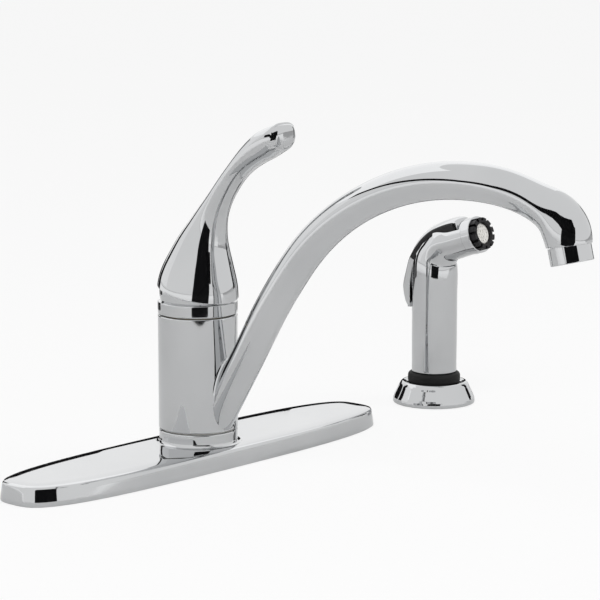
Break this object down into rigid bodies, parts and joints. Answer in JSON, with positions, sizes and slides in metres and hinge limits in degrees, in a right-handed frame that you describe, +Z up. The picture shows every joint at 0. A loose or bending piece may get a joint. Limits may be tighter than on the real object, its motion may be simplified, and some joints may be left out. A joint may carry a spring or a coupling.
{
  "type": "side spray kitchen faucet",
  "caption": "Chrome kitchen faucet with a low arched swivel spout, a single lever over a cartridge valve, a long deck plate and a separate pull-up side spray.",
  "frame": {"origin": "the valve body's axis where it meets the top of the countertop", "axes": "+Z up out of the countertop; +X along the deck plate towards the side spray; the spout and the lever point forward along -Y"},
  "size_m": [0.3624, 0.2827, 0.2386],
  "materials": {
    "chrome": "bright polished plate",
    "brass": "machined, unplated",
    "copper": "drawn copper tube",
    "steel": "plain turned steel",
    "black_plastic": "moulded, fine grain",
    "pale_plastic": "moulded acetal",
    "rubber": "soft black rubber",
    "foam": "closed cell foam",
    "ceramic": "lapped ceramic"
  },
  "bodies": {
    "deck_side": {"base_seal": "rubber", "bonnet_cap": "chrome", "cartridge_base": "pale_plastic", "cartridge_housing": "pale_plastic", "cold_supply_tail": "copper", "deck_gasket": "foam", "deck_plate": "chrome", "diverter_cage": "pale_plastic", "diverter_spring": "steel", "fixed_disc": "ceramic", "guide_bumper_ring": "rubber", "guide_gasket": "foam", "guide_nut": "black_plastic", "guide_washer": "steel", "hot_supply_tail": "copper", "left_body_screw": "steel", "left_stud": "steel", "left_stud_washer": "steel", "left_wing_nut": "black_plastic", "lower_o_ring": "rubber", "lower_slip_ring": "pale_plastic", "plate_underbody": "black_plastic", "retaining_nut": "brass", "right_body_screw": "steel", "right_stud": "steel", "right_stud_washer": "steel", "right_wing_nut": "black_plastic", "spray_guide": "chrome", "spray_outlet_tail": "copper", "upper_o_ring": "rubber", "upper_slip_ring": "pale_plastic", "valve_body": "brass"},
    "cartridge_turn": {"turn_collar": "pale_plastic", "lever_pin": "steel"},
    "handle": {"lever_handle": "chrome", "handle_set_screw": "steel", "lever_stem": "brass"},
    "moving_valve": {"moving_disc": "ceramic", "disc_carrier": "black_plastic"},
    "spout_assembly": {"spout": "chrome", "aerator_housing": "chrome", "aerator_insert": "pale_plastic", "aerator_washer": "rubber"},
    "hose_end": {"hose_coupling": "black_plastic"},
    "wand": {"wand_shell": "chrome", "trigger_pin": "steel", "nose_collar": "chrome", "nozzle_ring": "black_plastic", "spray_face": "pale_plastic", "poppet_spring": "steel"},
    "trigger": {"spray_trigger": "chrome"},
    "poppet": {"spray_poppet": "brass"},
    "diverter": {"diverter_piston": "black_plastic"}
  },
  "joints": [
    {"name": "handle_turn", "type": "hinge", "parent": "deck_side", "child": "cartridge_turn", "pos_m": [0, 0, 0.0923], "axis": [0, 0, 1], "range_deg": [-45, 45]},
    {"name": "handle_lift", "type": "hinge", "parent": "cartridge_turn", "child": "handle", "pos_m": [0, 0, 0.0923], "axis": [-1, 0, 0], "range_deg": [0, 22]},
    {"name": "valve_slide", "type": "slide", "parent": "cartridge_turn", "child": "moving_valve", "axis": [0, -1, 0], "range_m": [0, 0.00316]},
    {"name": "spout_swivel", "type": "hinge", "parent": "deck_side", "child": "spout_assembly", "pos_m": [0, 0, 0.05], "axis": [0, 0, 1], "range_deg": [-60, 60]},
    {"name": "diverter_slide", "type": "slide", "parent": "deck_side", "child": "diverter", "axis": [0, -1, 0], "range_m": [0, 0.0018], "stiffness_N_per_m": 100, "springref_m": -0.001, "deforming": ["diverter_spring"]},
    {"name": "spray_lift", "type": "slide", "parent": "deck_side", "child": "hose_end", "axis": [0, 0, 1], "range_m": [0, 0.06]},
    {"name": "spray_turn", "type": "hinge", "parent": "hose_end", "child": "wand", "pos_m": [0.2032, 0, 0.024], "axis": [0, 0, 1], "continuous": true},
    {"name": "trigger_press", "type": "hinge", "parent": "wand", "child": "trigger", "pos_m": [0.2032, -0.0201, 0.10369], "axis": [-1, 0, 0], "range_deg": [0, 4.5], "stiffness_Nm_per_rad": 2, "springref_deg": -3.44},
    {"name": "poppet_slide", "type": "slide", "parent": "wand", "child": "poppet", "axis": [0, -1, 0], "range_m": [0, 0.0019], "deforming": ["poppet_spring"]}
  ],
  "couplings": [
    {"joint": "valve_slide", "follows": "handle_lift", "m_per_rad": 0.008196},
    {"joint": "poppet_slide", "follows": "trigger_press", "m_per_rad": 0.0237}
  ]
}
